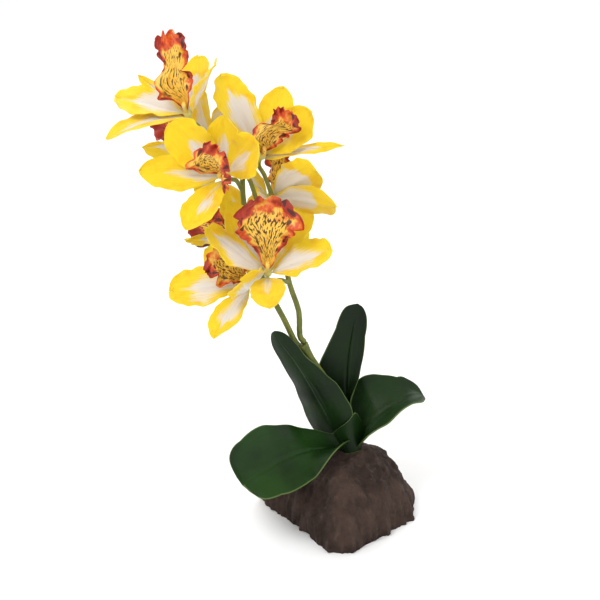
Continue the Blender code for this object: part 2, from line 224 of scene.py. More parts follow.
# The column over a lip, ring by ring: how far it moves up, towards the lip, and the size
# it is given. Then where it starts from the hub's middle: up, and away from the lip.
COLUMN_RADIUS = 1.1 * MM
COLUMN_RINGS = (
    (1.3, -0.4, 1.05), (1.3, -0.3, 1.0), (1.3, 0.1, 1.0), (1.2, 0.6, 1.1),
    (0.8, 0.8, 1.05), (0.6, 0.8, 0.8), (0.3, 0.4, 0.55),
)
COLUMN_START = (1.6 * MM, 0.9 * MM)

# Soft lights: name, place, size and power. Then how bright the sky is, the floor's
# size, and the camera's place, lens and sensor.
LAMPS = (
    ("key", (-0.8, -0.9, 1.6), 0.9, 16),
    ("fill", (1.3, -0.9, 0.9), 1.3, 5),
    ("back", (0.4, 1.3, 1.4), 1.2, 12),
)
SKY = 0.95
FLOOR_SIZE = 14
CAMERA_PLACE = (-0.02718, -0.84018, 0.49118)
LENS, SENSOR = 85, 36

# A blade's cage: the height that one of its steps stands for, the size of a step, and
# how many columns it has beyond each margin.
CAGE_DEPTH = 10 * MM
CAGE_STEP = 0.001
EXTRA = 2

# The narrowest and the widest that a rounded tip may be, as shares of the frame's
# blade, how far a leaf's margin waves, and the height of the ridges in a lip's throat.
NARROWEST, WIDEST = 0.02, 1.9
LEAF_WAVE = 0.5 * MM
RIDGE_HEIGHT = 0.7 * MM


# Sizes and colours.


def length(name, description, default):
    return bpy.props.FloatProperty(
        name=name, description=description, default=default, min=0, unit="LENGTH", precision=5
    )


def colour(name, description, default):
    return bpy.props.FloatVectorProperty(
        name=name, description=description, default=default, size=3, min=0, max=1, subtype="COLOR"
    )


class OrchidTepalSettings(bpy.types.PropertyGroup):
    thickness: length("Thickness", "Thickness of a sepal or petal", 0.45 * MM)
    sepal_ruffle: length("Sepal Ruffle", "How far a sepal's margin waves", 0.6 * MM)
    petal_ruffle: length("Petal Ruffle", "How far a petal's margin waves", 1.1 * MM)
    crease: length("Crease", "Depth of the crease along the middle", 0.7 * MM)
    yellow: colour("Yellow", "Colour of the margin", (0.78, 0.57, 0.012))
    # Painted shade: patches of deeper yellow stand in for shade in the hollows; the veins are
    # tinted with it too.
    shade_and_vein_amber: colour("Amber", "Deeper yellow, painted shade in patches and the colour of the veins", (0.76, 0.45, 0.004))
    cream: colour("Cream", "Colour of the pale centre", (0.66, 0.62, 0.57))
    sap: colour("Sap", "Green tint at the root", (0.54, 0.50, 0.17))


class OrchidLipSettings(bpy.types.PropertyGroup):
    thickness: length("Thickness", "Thickness of a lip", 0.5 * MM)
    frill: length("Frill", "How far the frilled margin waves", 2.4 * MM)
    roll: length("Roll", "How far the margin rolls outwards", 3.6 * MM)
    throat: colour("Throat", "Yellow of the throat", (0.84, 0.52, 0.07))
    flame: colour("Flame", "Orange towards the margin", (0.62, 0.085, 0.014))
    ember: colour("Ember", "Deep red of the frill", (0.30, 0.016, 0.006))
    spots: colour("Spots", "Brown of the dashes and spots", (0.055, 0.008, 0.004))


class OrchidLeafSettings(bpy.types.PropertyGroup):
    thickness: length("Thickness", "Thickness of a leaf", 0.9 * MM)
    groove: length("Groove", "Depth of the groove along the midrib", 0.5 * MM)
    green: colour("Green", "Colour of the blade", (0.009, 0.040, 0.003))
    shade: colour("Shade", "Darker green between the veins", (0.004, 0.015, 0.0025))
    edge: colour("Edge", "Pale line round the margin", (0.075, 0.12, 0.03))


class OrchidStemSettings(bpy.types.PropertyGroup):
    grain: length("Grain", "Size of the voxels that round the stems off", 0.42 * MM)
    olive: colour("Olive", "Main colour of the stems", (0.185, 0.195, 0.026))
    moss: colour("Moss", "Darker green streaks", (0.055, 0.085, 0.016))
    bark: colour("Bark", "Brown flecks", (0.14, 0.09, 0.03))


class OrchidRockSettings(bpy.types.PropertyGroup):
    grain: length("Grain", "Size of the voxels that the rock is carved from", 0.9 * MM)
    flute: length("Flute", "Depth of the upright flutes", 2.1 * MM)
    lump: length("Lump", "Size of the broad lumps", 1.6 * MM)
    brown: colour("Brown", "Colour of the rock's faces", (0.056, 0.034, 0.026))
    # Darker brown in random patches, and painted shade in the rock's pits.
    umber_and_pit_shade: colour("Umber", "Darker brown of patches, and painted shade in the pits", (0.022, 0.013, 0.010))
    dust: colour("Dust", "Dust on its upper edges", (0.088, 0.060, 0.048))


class OrchidStageSettings(bpy.types.PropertyGroup):
    floor: colour("Floor", "Colour of the floor", (0.88, 0.88, 0.88))
    pitch: bpy.props.FloatProperty(
        name="Pitch", description="How far the camera looks down",
        default=math.radians(22), subtype="ANGLE",
    )


def settings(kind):
    return getattr(bpy.context.scene, "orchid_" + kind)


# Working with objects.


def select_only(*objects):
    for item in bpy.context.selected_objects:
        item.select_set(False)
    for item in objects:
        item.select_set(True)
    if objects:
        bpy.context.view_layer.objects.active = objects[0]


def apply_modifiers(piece):
    select_only(piece)
    for modifier in list(piece.modifiers):
        bpy.ops.object.modifier_apply(modifier=modifier.name)


def smooth(piece, degrees=50):
    select_only(piece)
    bpy.ops.object.shade_smooth_by_angle(angle=math.radians(degrees))


def place(piece, name, slot, materials, *nodes):
    """Names a finished piece, gives it its materials and hands it to the frame."""
    piece.name = piece.data.name = name
    piece.data.materials.clear()
    for material in materials:
        piece.data.materials.append(material)
    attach(piece, "root")
    if nodes:
        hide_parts(*nodes)


def points_of(piece):
    found = np.empty(len(piece.data.vertices) * 3, np.float32)
    piece.data.vertices.foreach_get("co", found)
    return found.reshape(-1, 3).astype(float)


def set_points(piece, points):
    piece.data.vertices.foreach_set("co", np.asarray(points, np.float32).ravel())
    piece.data.update()


def copy_of(master):
    made = bpy.data.objects.new(master.name, master.data.copy())
    bpy.context.scene.collection.objects.link(made)
    return made


def copy_of_node(node):
    """A merged copy of a frame node, as a new object."""
    made = copy_of(frame["nodes"][node])
    made.data.materials.clear()
    select_only(made)
    bpy.ops.object.mode_set(mode="EDIT")
    bpy.ops.mesh.select_all(action="SELECT")
    bpy.ops.mesh.remove_doubles(threshold=0.001 * MM)
    bpy.ops.object.mode_set(mode="OBJECT")
    return made


# The frame's blades.


def welded(node):
    """The points and triangles of a frame node, with repeated points merged."""
    data = frame["nodes"][node].data
    points = np.empty(len(data.vertices) * 3, np.float32)
    data.vertices.foreach_get("co", points)
    points = points.reshape(-1, 3).astype(float)
    data.calc_loop_triangles()
    triangles = np.empty(len(data.loop_triangles) * 3, np.int32)
    data.loop_triangles.foreach_get("vertices", triangles)
    _, first, index = np.unique(
        np.round(points / (0.002 * MM)), axis=0, return_index=True, return_inverse=True
    )
    return points[first], index.reshape(-1)[triangles].reshape(-1, 3)


def rim_loop(rim):
    """The blade's boundary points in order."""
    loop, before = [next(iter(rim))], None
    while True:
        onward = [point for point in rim[loop[-1]] if point != before]
        before = loop[-1]
        if onward[0] == loop[0]:
            return loop
        loop.append(onward[0])


def middle_grid(node, layout, narrow_root=True):
    """The middle surface of a blade as rows of points, root first, hollow side up."""
    wall, rows, columns = layout
    points, triangles = welded(node)
    apart = np.linalg.norm(points[:, None] - points[None], axis=2)
    partner = np.abs(apart - wall).argmin(1)
    pairs = [(i, j) for i, j in enumerate(partner) if i < j]
    if len(pairs) != rows * columns or 2 * len(pairs) != len(points):
        raise RuntimeError(f"{node} isn't a blade of {rows} by {columns} points")
    owner = np.empty(len(points), int)
    for number, pair in enumerate(pairs):
        owner[list(pair)] = number
    middle = np.array([points[list(pair)].mean(0) for pair in pairs])

    rim, near = {}, [set() for _ in pairs]
    for triangle in owner[triangles]:
        corners = set(triangle)
        for corner in corners:
            near[corner] |= corners - {corner}
            if len(corners) == 2:
                rim.setdefault(corner, set()).update(corners - {corner})
    loop = rim_loop(rim)
    edges = [np.linalg.norm(middle[a] - middle[b]) for a, b in zip(loop, loop[1:] + loop[:1])]
    width, height = columns - 1, rows - 1
    ends = [sum(np.roll(edges, -start)[:width]) for start in range(len(loop))]
    start = int(np.argmin(ends))
    loop = loop[start:] + loop[:start]

    seat = {}
    for step, point in enumerate(loop):
        if step <= width:
            seat[point] = (0, step)
        elif step <= width + height:
            seat[point] = (step - width, width)
        elif step <= 2 * width + height:
            seat[point] = (height, 2 * width + height - step)
        else:
            seat[point] = (2 * (width + height) - step, 0)
    # Inner points sit evenly between their neighbours, so a linear solve seats them.
    inner = [point for point in range(len(pairs)) if point not in seat]
    place_of = {point: number for number, point in enumerate(inner)}
    balance, pull = np.zeros((len(inner), len(inner))), np.zeros((len(inner), 2))
    for point in inner:
        balance[place_of[point], place_of[point]] = len(near[point])
        for other in near[point]:
            if other in place_of:
                balance[place_of[point], place_of[other]] -= 1
            else:
                pull[place_of[point]] += seat[other]
    for point, found in zip(inner, np.linalg.solve(balance, pull).round().astype(int)):
        seat[point] = tuple(found)

    grid = np.empty((rows, columns, 3))
    for point, (row, column) in seat.items():
        grid[row, column] = middle[point]
    if not narrow_root:
        grid = grid[::-1]
    chord = (grid[:, 0] + grid[:, -1]) / 2 - grid[:, columns // 2]
    if (normals_of(grid)[:, columns // 2] * chord).sum() < 0:
        grid = grid[:, ::-1]
    return grid


def normals_of(grid):
    along, across = np.gradient(grid, axis=0), np.gradient(grid, axis=1)
    normals = np.cross(along, across)
    return normals / np.linalg.norm(normals, axis=2, keepdims=True)


def row_widths(grid):
    """The width of a blade at each of its rows, measured over its surface."""
    return np.linalg.norm(np.diff(grid, axis=1), axis=2).sum(1)


def between_rows(values, along):
    """The value at a share of the length, on a smooth curve through the rows' values."""
    values = np.concatenate([[2 * values[0] - values[1]], values, [2 * values[-1] - values[-2]]])
    place_at = np.clip(along, 0, 1) * (len(values) - 3)
    start = np.minimum(place_at.astype(int), len(values) - 4)
    t = place_at - start
    a, b, c, d = (values[start + step] for step in range(4))
    rest = (2 * a - 5 * b + 4 * c - d) * t**2 + (3 * b - a - 3 * c + d) * t**3
    return 0.5 * (2 * b + (c - a) * t + rest)


def outline_share(grid, along, turn, fullness):
    """How much wider than the frame's blade a rounded tip is, where it begins at turn."""
    widths = row_widths(grid)
    past = np.clip((along - turn) / (1 - turn), 0, 1)
    wanted = between_rows(widths, np.full(1, turn))[0] * (1 - past**2) ** fullness
    share_at = np.where(along > turn, wanted / between_rows(widths, along), 1)
    return np.clip(share_at, NARROWEST, WIDEST)


def reshaped(grid, margins):
    """The leaf's surface with its margins moved, and the inner columns following them."""
    made = grid.copy()
    rows, columns = grid.shape[:2]
    first, last = (np.array(moves) * MM for moves in margins)
    whole = rise(np.arange(rows), rows - 4, rows - 1)[:, None]
    for column in range(columns):
        over = 2 * column / (columns - 1) - 1
        bent = (first if over < 0 else last) * abs(over)
        level = first * (1 - over) / 2 + last * (1 + over) / 2
        made[:, column, ::2] += bent * (1 - whole) + level * whole
    return made


def upper_half(grid, across):
    """True for the points that lie on the half of a blade whose margin is higher."""
    first_is_upper = grid[:, 0, 2].mean() > grid[:, -1, 2].mean()
    return (across < 0) == first_is_upper


def flower_axes(flower):
    """The hub's middle, the way the flower faces and the side that its lip is on."""
    roots = {
        kind: middle_grid(f"{flower}_{kind}", TEPAL_GRID)[0, TEPAL_GRID[2] // 2]
        for kind in SEPALS + PETALS
    }
    lip = middle_grid(flower + "_lip", LIP_GRID)[0, LIP_GRID[2] // 2]
    points = np.array([*roots.values(), lip])
    # Every root is as far from the hub's middle, so |p|^2 = 2 p.c + constant.
    system = np.c_[2 * points, np.ones(len(points))]
    centre = np.linalg.lstsq(system, (points**2).sum(1), rcond=None)[0][:3]
    first, second, third = (roots[kind] for kind in SEPALS)
    facing = Vector(np.cross(second - first, third - first)).normalized()
    towards = Vector(lip - centre)
    if facing.dot(towards) < 0:
        facing.negate()
    side = (towards - facing * towards.dot(facing)).normalized()
    return Vector(centre), facing, side


def padded(grid, straight=True):
    """The grid with extra points on every side, carried on straight or repeated."""
    widths = ((1, 1), (EXTRA, EXTRA), (0, 0))
    if not straight:
        return np.pad(grid, widths, mode="edge")
    return np.pad(grid, widths, mode="reflect", reflect_type="odd")


def lay_over(piece, along, across, lift, grid):
    """Bends a flat piece over a blade's middle surface with a cage.

    along runs from 0 at the root to 1 at the tip, across from -0.5 to 0.5, and lift is
    the height above the surface, on its hollow side.
    """
    rows, columns = grid.shape[:2]
    flat = np.stack(
        [(along - 0.5) * (rows - 1), across * (columns - 1), lift / CAGE_DEPTH], axis=1
    )
    set_points(piece, flat * CAGE_STEP)
    middle, normals = padded(grid), padded(normals_of(grid), straight=False)
    data = bpy.data.lattices.new("cage")
    data.points_u, data.points_v, data.points_w = rows + 2, columns + 2 * EXTRA, 2
    data.interpolation_type_u = data.interpolation_type_v = "KEY_CATMULL_ROM"
    data.interpolation_type_w = "KEY_LINEAR"
    cage = bpy.data.objects.new("cage", data)
    cage.scale = (CAGE_STEP,) * 3
    bpy.context.scene.collection.objects.link(cage)
    number = 0
    for side in (-0.5, 0.5):
        layer = (middle + normals * side * CAGE_DEPTH) / CAGE_STEP
        for column in range(columns + 2 * EXTRA):
            for row in range(rows + 2):
                data.points[number].co_deform = layer[row, column]
                number += 1
    bend = piece.modifiers.new("bend", "LATTICE")
    bend.object = cage
    apply_modifiers(piece)
    bpy.data.objects.remove(cage)
    bpy.data.lattices.remove(data)


def blank(name, counts):
    """A flat sheet that blades are cut from, with its UV map."""
    select_only()
    bpy.ops.mesh.primitive_grid_add(x_subdivisions=counts[0], y_subdivisions=counts[1], size=1)
    made = bpy.context.active_object
    made.name = name
    return made


def recarved(node, grain):
    """A copy of a frame node rebuilt from voxels of one size."""
    made = copy_of_node(node)
    remesh = made.modifiers.new("grain", "REMESH")
    remesh.mode = "VOXEL"
    remesh.voxel_size = grain
    apply_modifiers(made)
    return made


def wall(piece, thickness):
    """Gives a sheet its thickness. The hollow side keeps the first material."""
    thicken = piece.modifiers.new("wall", "SOLIDIFY")
    thicken.thickness = thickness
    thicken.offset = 0
    thicken.material_offset = 1
    thicken.material_offset_rim = 0
    apply_modifiers(piece)
    smooth(piece, 60)


def rise(value, start, end):
    """A smooth step from 0 at start to 1 at end."""
    value = np.clip((value - start) / (end - start), 0, 1)
    return value * value * (3 - 2 * value)


def seed_of(name):
    """A seed for random draws that stays the same for a piece's name."""
    return sum((at + 3) * ord(letter) for at, letter in enumerate(name)) % 997


# Materials.


def plug(tree, socket, value):
    """Links a socket to another one, or sets the value that it holds."""
    if isinstance(value, bpy.types.NodeSocket):
        tree.links.new(value, socket)
    else:
        socket.default_value = value


def node(tree, kind, inputs=(), **settings_of):
    made = tree.nodes.new("ShaderNode" + kind)
    for name, value in settings_of.items():
        setattr(made, name, value)
    for socket, value in dict(inputs).items():
        plug(tree, made.inputs[socket], value)
    return made


def new_material(name):
    """A material, its node tree and a point's place on the object."""
    made = bpy.data.materials.new(name)
    made.use_nodes = True
    return made, made.node_tree, node(made.node_tree, "TexCoord").outputs["Object"]


def shaded(made, inputs):
    """The material, with these inputs given to its shader."""
    shader = made.node_tree.nodes["Principled BSDF"]
    for socket, value in inputs.items():
        plug(made.node_tree, shader.inputs[socket], value)
    return made


def math_of(tree, first, second, operation="ADD"):
    return node(tree, "Math", {0: first, 1: second}, operation=operation).outputs[0]


def product_of(tree, *factors):
    made = factors[0]
    for factor in factors[1:]:
        made = math_of(tree, made, factor, "MULTIPLY")
    return made


def ramp_of(tree, value, low, high, start=0.0, end=1.0):
    """A smooth step that goes from start to end while the value goes from low to high."""
    made = node(
        tree, "MapRange", {"Value": value, 1: low, 2: high, 3: start, 4: end},
        interpolation_type="SMOOTHSTEP",
    )
    return made.outputs[0]


def blend_of(tree, factor, first, second):
    """A mix of two colours, each a socket or three numbers."""
    made = node(tree, "Mix", {0: factor}, data_type="RGBA")
    for socket, value in ((6, first), (7, second)):
        is_socket = isinstance(value, bpy.types.NodeSocket)
        plug(tree, made.inputs[socket], value if is_socket else (*value, 1))
    return made.outputs[2]


def noise_of(tree, vector, scale, detail=2.0, roughness=0.5):
    made = node(
        tree, "TexNoise",
        {"Vector": vector, "Scale": scale, "Detail": detail, "Roughness": roughness},
    )
    return made.outputs["Fac"]


def stretched(tree, vector, scale):
    return node(tree, "Mapping", {"Vector": vector, "Scale": scale}).outputs[0]


def surface_axes(tree):
    """UV, the share along a blade, and the distance from its midrib, from 0 to 1."""
    uv = node(tree, "TexCoord").outputs["UV"]
    parts = node(tree, "SeparateXYZ", {0: uv})
    middle = math_of(tree, parts.outputs[1], 0.5, "SUBTRACT")
    side = math_of(tree, math_of(tree, middle, 0.0, "ABSOLUTE"), 2.0, "MULTIPLY")
    return uv, parts.outputs[0], side


def bump_of(tree, height, depth, strength=1.0, normal=None):
    inputs = {"Height": height, "Distance": depth, "Strength": strength}
    if normal is not None:
        inputs["Normal"] = normal
    return node(tree, "Bump", inputs).outputs[0]


def tinted(colour_of, tint):
    """A colour times one number, or times one for each of its parts."""
    return [part * by for part, by in zip(colour_of, np.broadcast_to(tint, 3).tolist())]


def tepal_material(name, back=False, spread=0.0):
    """Yellow with patches of painted shade and a pale, streaked centre. A higher spread makes the
    centre larger.
    """
    look = settings("tepal")
    made, tree, spot = new_material(name)
    uv, along, side = surface_axes(tree)
    veins = noise_of(tree, stretched(tree, uv, (2.2, 30, 1)), 1.0, 3.0, 0.6)
    broad = noise_of(tree, spot, 38.0)
    patch = noise_of(tree, spot, 120.0, 3.0)
    edge = math_of(tree, side, ramp_of(tree, along, 0.42, 0.94, 0.0, 0.95))
    edge = math_of(tree, edge, ramp_of(tree, veins, 0.3, 0.7, -0.2, 0.2))
    edge = math_of(tree, edge, ramp_of(tree, broad, 0.3, 0.7, -0.34, 0.3))
    pale = ramp_of(tree, edge, 0.34 + spread, 0.74 + spread, 1.0, 0.0)
    # Painted shade: patches of deeper yellow stand in for shade in the hollows.
    gold = blend_of(tree, ramp_of(tree, patch, 0.48, 0.8), look.yellow, look.shade_and_vein_amber)
    gold = blend_of(tree, ramp_of(tree, veins, 0.35, 0.8, 0.0, 0.35), gold, look.shade_and_vein_amber)
    warm = tinted(look.cream, (0.93, 0.84, 0.62))
    cream = blend_of(tree, ramp_of(tree, veins, 0.45, 0.75, 0.0, 0.5), look.cream, warm)
    root = ramp_of(tree, along, 0.0, 0.24 if back else 0.14, 0.85, 0.0)
    relief = bump_of(tree, veins, 0.5 * MM, 0.7)
    return shaded(made, {
        "Base Color": blend_of(tree, root, blend_of(tree, pale, gold, cream), look.sap),
        "Normal": bump_of(tree, noise_of(tree, spot, 2600.0), 0.06 * MM, 0.5, relief),
        "Roughness": ramp_of(tree, patch, 0.2, 0.8, 0.46, 0.62),
        "Specular IOR Level": 0.2,
        "Sheen Weight": 0.15,
        "Subsurface Weight": 0.25,
        "Subsurface Scale": 1.5 * MM,
        "Subsurface Radius": (1.0, 0.7, 0.2),
    })


def lip_material(name, back=False, deeper=0.0, sparser=0.0):
    """A yellow throat that turns red outwards, with dashes inside and spots round them."""
    look = settings("lip")
    made, tree, spot = new_material(name)
    uv, along, side = surface_axes(tree)
    drift = noise_of(tree, spot, 150.0, 3.0)
    fan = noise_of(tree, stretched(tree, uv, (3.0, 22, 1)), 1.0)
    reach = math_of(
        tree, ramp_of(tree, side, 0.52, 1.0, 0.0, 0.9), ramp_of(tree, along, 0.6, 1.0, 0.0, 0.85)
    )
    reach = math_of(tree, reach, ramp_of(tree, drift, 0.3, 0.7, -0.4, 0.36))
    reach = math_of(tree, reach, 0.55 if back else deeper)
    skin = blend_of(tree, ramp_of(tree, reach, 0.25, 0.72), look.throat, look.flame)
    skin = blend_of(tree, ramp_of(tree, reach, 0.7, 1.1), skin, look.ember)
    skin = blend_of(tree, ramp_of(tree, fan, 0.5, 0.75, 0.0, 0.35), skin, look.flame)
    lines = noise_of(tree, stretched(tree, uv, (14.0, 32, 1)), 1.0, 1.0, 0.4)
    dashes = product_of(
        tree, ramp_of(tree, lines, 0.52 + sparser, 0.555 + sparser),
        ramp_of(tree, side, 0.55, 0.85, 1.0, 0.0), ramp_of(tree, along, 0.06, 0.14),
        ramp_of(tree, along, 0.74, 0.9, 1.0, 0.0),
    )
    cells = node(
        tree, "TexVoronoi",
        {"Vector": stretched(tree, uv, (6.5, 10, 1)), "Scale": 1.0, "Randomness": 0.9},
    ).outputs["Distance"]
    spots = product_of(
        tree, ramp_of(tree, cells, 0.27, 0.37, 1.0, 0.0), ramp_of(tree, side, 0.45, 0.6),
        ramp_of(tree, along, 0.15, 0.3), ramp_of(tree, side, 0.84, 0.96, 1.0, 0.0),
    )
    marks = product_of(tree, math_of(tree, dashes, spots, "MAXIMUM"), 0.2 if back else 0.94)
    relief = bump_of(tree, fan, 0.5 * MM, 0.8)
    return shaded(made, {
        "Base Color": blend_of(tree, marks, skin, look.spots),
        "Normal": bump_of(tree, noise_of(tree, spot, 1800.0), 0.08 * MM, 0.6, relief),
        "Roughness": ramp_of(tree, drift, 0.2, 0.8, 0.38, 0.55),
        "Specular IOR Level": 0.4,
        "Subsurface Weight": 0.15,
        "Subsurface Scale": 1.0 * MM,
    })


def leaf_material(name, back=False, painted_light=1.0):
    """Dark green with faint veins, a painted highlight along the midrib and a pale line round the
    margin.
    """
    look = settings("leaf")
    # Painted shade: a share below one darkens the greens, for pieces that face away from the light
    # or sit among the leaf bases.
    green, shade = tinted(look.green, painted_light), tinted(look.shade, painted_light)
    highlight_and_underside_green = tinted(green, 2.1)
    made, tree, spot = new_material(name)
    uv, along, side = surface_axes(tree)
    cloud = noise_of(tree, spot, 30.0, 3.0)
    veins = noise_of(tree, stretched(tree, uv, (1.2, 46, 1)), 1.0)
    skin = blend_of(tree, ramp_of(tree, cloud, 0.3, 0.72), shade, green)
    skin = blend_of(tree, ramp_of(tree, veins, 0.45, 0.8, 0.0, 0.3), skin, shade)
    # Painted highlight: a light line along the midrib's groove.
    skin = blend_of(tree, ramp_of(tree, side, 0.0, 0.03, 0.18, 0.0), skin, highlight_and_underside_green)
    if back:
        skin = blend_of(tree, 0.45, skin, highlight_and_underside_green)
    skin = blend_of(tree, ramp_of(tree, side, 0.97, 0.99), skin, look.edge)
    relief = bump_of(tree, veins, 0.35 * MM, 0.35)
    return shaded(made, {
        "Base Color": blend_of(tree, ramp_of(tree, along, 0.0, 0.2, 0.6, 0.0), skin, shade),
        "Normal": bump_of(tree, noise_of(tree, spot, 900.0, 3.0), 0.05 * MM, 0.3, relief),
        "Roughness": ramp_of(tree, cloud, 0.25, 0.75, 0.36, 0.48),
        "Specular IOR Level": 0.2,
    })


def stem_material(name, hubs=False, painted_light=1.0):
    """Streaked olive with brown flecks, turning petal green where the tint says so."""
    look = settings("stem")
    # Painted shade: a share below one darkens the olive and its flecks, for the crown in the shade
    # under the leaf bases.
    olive, moss = tinted(look.olive, painted_light), tinted(look.moss, painted_light)
    made, tree, spot = new_material(name)
    streaks = noise_of(tree, stretched(tree, spot, (620, 620, 60)), 1.0, 3.0)
    cloud = noise_of(tree, spot, 55.0, 3.0)
    flecks = noise_of(tree, spot, 900.0)
    skin = blend_of(tree, ramp_of(tree, cloud, 0.4, 0.72), olive, moss)
    skin = blend_of(tree, ramp_of(tree, streaks, 0.45, 0.75, 0.0, 0.4), skin, moss)
    flecked = ramp_of(tree, flecks, 0.62, 0.70, 0.0, 0.4 * painted_light)
    skin = blend_of(tree, flecked, skin, look.bark)
    if hubs:
        tint = node(tree, "Attribute", attribute_name=HUB_TINT).outputs["Fac"]
        skin = blend_of(tree, tint, skin, settings("tepal").sap)
    return shaded(made, {
        "Base Color": skin,
        "Normal": bump_of(tree, streaks, 0.25 * MM, 0.6),
        "Roughness": ramp_of(tree, cloud, 0.2, 0.8, 0.4, 0.56),
        "Specular IOR Level": 0.35,
    })


def rock_material(name):
    """Brown with darker patches, painted shade in the pits of the grit, and dust on the flutes and
    the grit.
    """
    look = settings("rock")
    made, tree, spot = new_material(name)
    broad = noise_of(tree, spot, 45.0, 5.0, 0.6)
    flutes = noise_of(tree, stretched(tree, spot, (260, 260, 40)), 1.0, 4.0, 0.6)
    grit = noise_of(tree, spot, 1300.0, 4.0, 0.7)
    skin = blend_of(tree, ramp_of(tree, broad, 0.35, 0.66), look.umber_and_pit_shade, look.brown)
    skin = blend_of(tree, ramp_of(tree, flutes, 0.5, 0.72, 0.0, 0.45), skin, look.dust)
    skin = blend_of(tree, ramp_of(tree, grit, 0.54, 0.72, 0.0, 0.35), skin, look.dust)
    relief = bump_of(tree, flutes, 1.2 * MM, 0.6)
    return shaded(made, {
        # Painted shade: the grit's pits, where its bump is lowest, are darkened towards the darker
        # brown.
        "Base Color": blend_of(tree, ramp_of(tree, grit, 0.30, 0.44, 0.5, 0.0), skin, look.umber_and_pit_shade),
        "Normal": bump_of(tree, grit, 0.35 * MM, 0.8, relief),
        "Roughness": ramp_of(tree, grit, 0.2, 0.8, 0.82, 0.97),
        "Specular IOR Level": 0.2,
    })


def column_material(name):
    """Petal green and yellow with red specks."""
    look = settings("lip")
    made, tree, spot = new_material(name)
    cloud = noise_of(tree, spot, 210.0)
    specks = noise_of(tree, spot, 1500.0, 1.0)
    skin = blend_of(tree, ramp_of(tree, cloud, 0.3, 0.55), settings("tepal").sap, look.throat)
    return shaded(made, {
        "Base Color": blend_of(tree, ramp_of(tree, specks, 0.62, 0.68, 0.0, 0.9), skin, look.ember),
        "Normal": bump_of(tree, cloud, 0.3 * MM, 0.5),
        "Roughness": ramp_of(tree, specks, 0.2, 0.8, 0.35, 0.5),
    })


def floor_material(name):
    """Almost plain white."""
    look = settings("stage")
    made, tree, spot = new_material(name)
    return shaded(made, {
        "Base Color": blend_of(
            tree, noise_of(tree, spot, 3.0), look.floor, tinted(look.floor, 0.985)
        ),
        "Roughness": 0.9,
        "Specular IOR Level": 0.1,
    })


# Forms: how a flat blank is cut and waved before it is bent over its blade, and how the
# rock is carved.


def flat_axes(piece):
    points = points_of(piece)
    return points[:, 0] + 0.5, points[:, 1].copy()


def wave(turns, phase=0.0):
    return np.sin(2 * math.pi * turns + phase)


def hump(value, middle, width):
    """1 at the middle and nearly 0 a few widths away."""
    return np.exp(-(((value - middle) / width) ** 2))


def tepal_form(grid, along, across, kind, seed, look, trims):
    """A wavy, creased blade with a rounded tip."""
    draw = np.random.default_rng(seed)
    above, below, kept_length = trims
    petal = kind in PETALS
    ruffle = look.petal_ruffle if petal else look.sepal_ruffle
    phase, second, third = draw.uniform(0, 2 * math.pi, 3)
    side, margin = np.sign(across), np.abs(across) * 2
    waves = draw.uniform(1.8, 2.6) if petal else draw.uniform(1.2, 1.9)
    tall, tip = rise(along, 0.08, 0.4), rise(along, 0.86, 1.0)
    lift = ruffle * margin**3 * tall * wave(waves * along, phase + 1.3 * side)
    lift += 0.4 * ruffle * margin**4 * tall * wave(waves * 2.7 * along, third * side)
    lift += 0.3 * ruffle * tall * wave(1.3 * along + 1.1 * across, second)
    lift -= look.crease * hump(across, 0, 0.055) * rise(along, 0.0, 0.2) * (1 - rise(along, 0.7, 1))
    lift += 0.3 * look.crease * hump(np.abs(across), 0.14, 0.05) * tall
    blunt = draw.uniform(-0.07, -0.04) if petal else draw.uniform(-0.05, -0.01)
    point = POINTED if above + below < NARROW else blunt
    longer = along + point * tip * (1 - margin**2) - 0.03 * (1 - rise(along, 0.0, 0.2))
    longer += 0.007 * tip * wave(3.6 * across, phase)
    turn = draw.uniform(0.62, 0.7) if petal else draw.uniform(0.55, 0.66)
    fullness = draw.uniform(0.42, 0.52) if petal else draw.uniform(0.55, 0.75)
    edge = 0.04 * wave(waves * 1.5 * along, second + side) + 0.022 * wave(6.1 * along, third - side)
    kept = 1 + (np.where(upper_half(grid, across), above, below) - 1) * rise(along, 0.0, 0.3)
    widths = row_widths(grid)
    kept = kept * between_rows(widths, along) / between_rows(widths, along * kept_length)
    kept = kept * outline_share(grid, along, turn, fullness) * (1 + edge * tall)
    return longer * kept_length, across * kept, lift


def lip_form(outline, along, across, seed, frill, roll):
    """Side lobes and a frilled middle lobe, with their margins curled outwards."""
    draw = np.random.default_rng(seed)
    phase, second, third, fourth = draw.uniform(0, 2 * math.pi, 4)
    side, margin = np.sign(across), np.abs(across) * 2
    first, last = (between_rows(np.array(half), along) / 2 for half in outline)
    beat = 4.3 * along + 0.22 * wave(1.7 * along, fourth + 2 * side)
    lobes = (np.sin(math.pi * beat + second + 0.9 * side) ** 2 + 0.02) ** 0.35
    lobes *= 0.75 + 0.25 * wave(2.3 * along, third - side)
    scallop = 1 + 0.3 * (lobes - 0.6) * margin**3 * rise(along, 0.2, 0.36)
    near = rise(margin, 0.4, 1.0) * rise(along, 0.14, 0.34)
    mouth = rise(along, 0.78, 1.0)
    tips = 3.4 * math.pi * across + 0.6 * np.sin(7 * across + phase) + third
    tips = (np.sin(tips) ** 2 + 0.05) ** 0.4
    lift = frill * near * wave(3.1 * along, phase + 1.9 * side)
    lift += 0.4 * frill * near * margin * wave(8.3 * along, third - side)
    lift += 1.2 * frill * mouth * wave(2.8 * across, second)
    lift -= roll * near**2 * (0.55 + 0.9 * lobes) + roll * mouth**2 * (0.7 + 0.8 * tips)
    ridges = hump(margin, 0.15, 0.06) * rise(along, 0.08, 0.2) * (1 - rise(along, 0.5, 0.66))
    lift += RIDGE_HEIGHT * ridges
    longer = along + 0.07 * mouth * (tips - 0.6)
    longer -= 0.02 * (1 - rise(along, 0.0, 0.15)) + 0.05 * near * rise(along, 0.3, 0.6)
    return longer, (last - first) / 2 + (first + last) * across * scallop, lift


